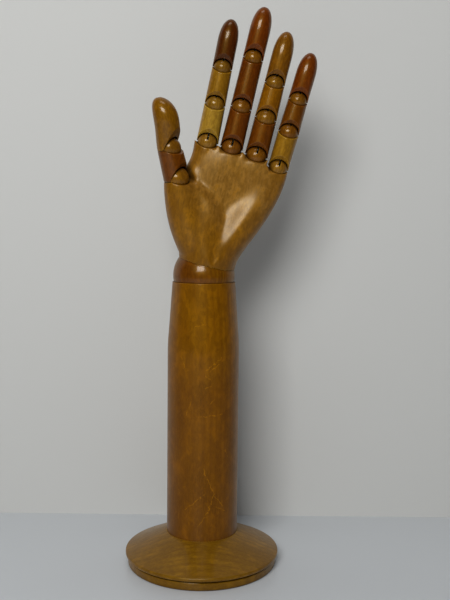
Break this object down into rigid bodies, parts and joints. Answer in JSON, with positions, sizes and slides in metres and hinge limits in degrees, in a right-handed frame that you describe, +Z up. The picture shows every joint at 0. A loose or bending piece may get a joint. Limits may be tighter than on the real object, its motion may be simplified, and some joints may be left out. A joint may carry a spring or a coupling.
{
  "type": "artist mannequin",
  "caption": "Jointed wooden display hand with ball-jointed fingers, thumb and wrist on a turned forearm and round base.",
  "frame": {"origin": "centre of the base's underside, on the surface that it stands on", "axes": "+Z up along the forearm, the palm faces -Y, the little finger is on the +X side"},
  "size_m": [0.1436, 0.121, 0.4269],
  "materials": {
    "base_wood": "glossy varnish",
    "forearm_wood": "glossy varnish",
    "palm_wood": "glossy varnish",
    "ball_wood": "glossy varnish",
    "dark_wood": "glossy varnish",
    "tan_wood": "glossy varnish",
    "light_wood": "glossy varnish",
    "amber_wood": "glossy varnish",
    "red_wood": "glossy varnish",
    "golden_wood": "glossy varnish",
    "steel": "plain drawn wire and turned screws"
  },
  "bodies": {
    "root": {"base": "base_wood", "base_screws": "steel", "forearm": "forearm_wood"},
    "wrist_swivel": {"wrist_stud": "steel", "wrist_spring": "steel"},
    "wrist_ball": {"wrist_ball": "ball_wood"},
    "palm": {"palm": "palm_wood", "wrist_screw_eye": "steel", "knuckle_springs": "steel"},
    "index_proximal": {"index_proximal": "light_wood", "index_proximal_eye": "steel", "index_proximal_spring": "steel"},
    "index_knuckle_ball": {"index_knuckle_ball": "ball_wood"},
    "index_middle": {"index_middle": "tan_wood", "index_middle_eye": "steel", "index_middle_spring": "steel"},
    "index_middle_ball": {"index_middle_ball": "ball_wood"},
    "index_distal": {"index_distal": "dark_wood", "index_distal_eye": "steel"},
    "index_distal_ball": {"index_distal_ball": "ball_wood"},
    "middle_proximal": {"middle_proximal": "red_wood", "middle_proximal_eye": "steel", "middle_proximal_spring": "steel"},
    "middle_knuckle_ball": {"middle_knuckle_ball": "ball_wood"},
    "middle_middle": {"middle_middle": "amber_wood", "middle_middle_eye": "steel", "middle_middle_spring": "steel"},
    "middle_middle_ball": {"middle_middle_ball": "ball_wood"},
    "middle_distal": {"middle_distal": "amber_wood", "middle_distal_eye": "steel"},
    "middle_distal_ball": {"middle_distal_ball": "ball_wood"},
    "ring_proximal": {"ring_proximal": "red_wood", "ring_proximal_eye": "steel", "ring_proximal_spring": "steel"},
    "ring_knuckle_ball": {"ring_knuckle_ball": "ball_wood"},
    "ring_middle": {"ring_middle": "golden_wood", "ring_middle_eye": "steel", "ring_middle_spring": "steel"},
    "ring_middle_ball": {"ring_middle_ball": "ball_wood"},
    "ring_distal": {"ring_distal": "golden_wood", "ring_distal_eye": "steel"},
    "ring_distal_ball": {"ring_distal_ball": "ball_wood"},
    "little_proximal": {"little_proximal": "light_wood", "little_proximal_eye": "steel", "little_proximal_spring": "steel"},
    "little_knuckle_ball": {"little_knuckle_ball": "ball_wood"},
    "little_middle": {"little_middle": "amber_wood", "little_middle_eye": "steel", "little_middle_spring": "steel"},
    "little_middle_ball": {"little_middle_ball": "ball_wood"},
    "little_distal": {"little_distal": "red_wood", "little_distal_eye": "steel"},
    "little_distal_ball": {"little_distal_ball": "ball_wood"},
    "thumb_proximal": {"thumb_proximal": "amber_wood", "thumb_proximal_link": "steel"},
    "thumb_knuckle_ball": {"thumb_knuckle_ball": "ball_wood"},
    "thumb_distal": {"thumb_distal": "amber_wood", "thumb_distal_eye": "steel"},
    "thumb_distal_ball": {"thumb_distal_ball": "ball_wood"}
  },
  "joints": [
    {"name": "wrist_turn", "type": "hinge", "parent": "root", "child": "wrist_swivel", "pos_m": [0, 0, 0.2282], "axis": [0, 0, 1], "continuous": true},
    {"name": "wrist_flex", "type": "hinge", "parent": "wrist_swivel", "child": "wrist_ball", "pos_m": [0, 0, 0.2282], "axis": [1, 0, 0], "range_deg": [-26, 17]},
    {"name": "wrist_tilt", "type": "hinge", "parent": "wrist_ball", "child": "palm", "pos_m": [0, 0, 0.2282], "axis": [0, 0.9969, 0.0785], "range_deg": [-32, 10]},
    {"name": "index_spread", "type": "hinge", "parent": "palm", "child": "index_knuckle_ball", "pos_m": [0.00192, -0.00793, 0.32898], "axis": [0, 0.9969, 0.0785], "range_deg": [-4, 1.5]},
    {"name": "index_proximal_flex", "type": "hinge", "parent": "index_knuckle_ball", "child": "index_proximal", "pos_m": [0.00192, -0.00793, 0.32898], "axis": [0.981, 0.0152, -0.1936], "range_deg": [-3, 70]},
    {"name": "index_middle_ball_turn", "type": "hinge", "parent": "index_proximal", "child": "index_middle_ball", "pos_m": [0.00742, -0.01011, 0.35665], "axis": [0.981, 0.0152, -0.1936], "range_deg": [-1.5, 37]},
    {"name": "index_middle_flex", "type": "hinge", "parent": "index_middle_ball", "child": "index_middle", "pos_m": [0.00742, -0.01011, 0.35665], "axis": [0.981, 0.0152, -0.1936], "range_deg": [-1.5, 37]},
    {"name": "index_distal_ball_turn", "type": "hinge", "parent": "index_middle", "child": "index_distal_ball", "pos_m": [0.01269, -0.01219, 0.38316], "axis": [0.981, 0.0152, -0.1936], "range_deg": [-1.5, 25]},
    {"name": "index_distal_flex", "type": "hinge", "parent": "index_distal_ball", "child": "index_distal", "pos_m": [0.01269, -0.01219, 0.38316], "axis": [0.981, 0.0152, -0.1936], "range_deg": [-1.5, 25]},
    {"name": "middle_spread", "type": "hinge", "parent": "palm", "child": "middle_knuckle_ball", "pos_m": [0.02003, -0.00759, 0.32466], "axis": [0, 0.9969, 0.0785], "range_deg": [-1.5, 1.5]},
    {"name": "middle_proximal_flex", "type": "hinge", "parent": "middle_knuckle_ball", "child": "middle_proximal", "pos_m": [0.02003, -0.00759, 0.32466], "axis": [0.9736, 0.0179, -0.2276], "range_deg": [-3, 70]},
    {"name": "middle_middle_ball_turn", "type": "hinge", "parent": "middle_proximal", "child": "middle_middle_ball", "pos_m": [0.02709, -0.00995, 0.35465], "axis": [0.9736, 0.0179, -0.2276], "range_deg": [-1.5, 37]},
    {"name": "middle_middle_flex", "type": "hinge", "parent": "middle_middle_ball", "child": "middle_middle", "pos_m": [0.02709, -0.00995, 0.35465], "axis": [0.9736, 0.0179, -0.2276], "range_deg": [-1.5, 37]},
    {"name": "middle_distal_ball_turn", "type": "hinge", "parent": "middle_middle", "child": "middle_distal_ball", "pos_m": [0.03544, -0.01275, 0.39017], "axis": [0.9736, 0.0179, -0.2276], "range_deg": [-1.5, 25]},
    {"name": "middle_distal_flex", "type": "hinge", "parent": "middle_distal_ball", "child": "middle_distal", "pos_m": [0.03544, -0.01275, 0.39017], "axis": [0.9736, 0.0179, -0.2276], "range_deg": [-1.5, 25]},
    {"name": "ring_spread", "type": "hinge", "parent": "palm", "child": "ring_knuckle_ball", "pos_m": [0.03883, -0.00716, 0.31919], "axis": [0, 0.9969, 0.0785], "range_deg": [-1.5, 1.5]},
    {"name": "ring_proximal_flex", "type": "hinge", "parent": "ring_knuckle_ball", "child": "ring_proximal", "pos_m": [0.03883, -0.00716, 0.31919], "axis": [0.9715, 0.0186, -0.2361], "range_deg": [-3, 70]},
    {"name": "ring_middle_ball_turn", "type": "hinge", "parent": "ring_proximal", "child": "ring_middle_ball", "pos_m": [0.04558, -0.00933, 0.34679], "axis": [0.9715, 0.0186, -0.2361], "range_deg": [-1.5, 37]},
    {"name": "ring_middle_flex", "type": "hinge", "parent": "ring_middle_ball", "child": "ring_middle", "pos_m": [0.04558, -0.00933, 0.34679], "axis": [0.9715, 0.0186, -0.2361], "range_deg": [-1.5, 37]},
    {"name": "ring_distal_ball_turn", "type": "hinge", "parent": "ring_middle", "child": "ring_distal_ball", "pos_m": [0.05181, -0.01134, 0.37226], "axis": [0.9715, 0.0186, -0.2361], "range_deg": [-1.5, 25]},
    {"name": "ring_distal_flex", "type": "hinge", "parent": "ring_distal_ball", "child": "ring_distal", "pos_m": [0.05181, -0.01134, 0.37226], "axis": [0.9715, 0.0186, -0.2361], "range_deg": [-1.5, 25]},
    {"name": "little_spread", "type": "hinge", "parent": "palm", "child": "little_knuckle_ball", "pos_m": [0.05553, -0.00646, 0.31026], "axis": [0, 0.9969, 0.0785], "range_deg": [-1.5, 4]},
    {"name": "little_proximal_flex", "type": "hinge", "parent": "little_knuckle_ball", "child": "little_proximal", "pos_m": [0.05553, -0.00646, 0.31026], "axis": [0.9636, 0.021, -0.2664], "range_deg": [-3, 70]},
    {"name": "little_middle_ball_turn", "type": "hinge", "parent": "little_proximal", "child": "little_middle_ball", "pos_m": [0.06288, -0.00854, 0.33668], "axis": [0.9636, 0.021, -0.2664], "range_deg": [-1.5, 37]},
    {"name": "little_middle_flex", "type": "hinge", "parent": "little_middle_ball", "child": "little_middle", "pos_m": [0.06288, -0.00854, 0.33668], "axis": [0.9636, 0.021, -0.2664], "range_deg": [-1.5, 37]},
    {"name": "little_distal_ball_turn", "type": "hinge", "parent": "little_middle", "child": "little_distal_ball", "pos_m": [0.06945, -0.0104, 0.36031], "axis": [0.9636, 0.021, -0.2664], "range_deg": [-1.5, 25]},
    {"name": "little_distal_flex", "type": "hinge", "parent": "little_distal_ball", "child": "little_distal", "pos_m": [0.06945, -0.0104, 0.36031], "axis": [0.9636, 0.021, -0.2664], "range_deg": [-1.5, 25]},
    {"name": "thumb_spread", "type": "hinge", "parent": "palm", "child": "thumb_knuckle_ball", "pos_m": [-0.02044, -0.01578, 0.30125], "axis": [-0.8575, 0.5054, -0.0961], "range_deg": [-3, 3]},
    {"name": "thumb_proximal_flex", "type": "hinge", "parent": "thumb_knuckle_ball", "child": "thumb_proximal", "pos_m": [-0.02044, -0.01578, 0.30125], "axis": [-0.4634, -0.84, -0.2821], "range_deg": [-30, 3]},
    {"name": "thumb_distal_ball_turn", "type": "hinge", "parent": "thumb_proximal", "child": "thumb_distal_ball", "pos_m": [-0.02558, -0.02032, 0.3232], "axis": [-0.4634, -0.84, -0.2821], "range_deg": [-35, 1.5]},
    {"name": "thumb_distal_flex", "type": "hinge", "parent": "thumb_distal_ball", "child": "thumb_distal", "pos_m": [-0.02558, -0.02032, 0.3232], "axis": [-0.4634, -0.84, -0.2821], "range_deg": [-35, 1.5]}
  ],
  "couplings": [
    {"joint": "index_middle_ball_turn", "follows": "index_middle_flex", "ratio": 1},
    {"joint": "index_distal_ball_turn", "follows": "index_distal_flex", "ratio": 1},
    {"joint": "middle_middle_ball_turn", "follows": "middle_middle_flex", "ratio": 1},
    {"joint": "middle_distal_ball_turn", "follows": "middle_distal_flex", "ratio": 1},
    {"joint": "ring_middle_ball_turn", "follows": "ring_middle_flex", "ratio": 1},
    {"joint": "ring_distal_ball_turn", "follows": "ring_distal_flex", "ratio": 1},
    {"joint": "little_middle_ball_turn", "follows": "little_middle_flex", "ratio": 1},
    {"joint": "little_distal_ball_turn", "follows": "little_distal_flex", "ratio": 1},
    {"joint": "thumb_distal_ball_turn", "follows": "thumb_distal_flex", "ratio": 1}
  ]
}
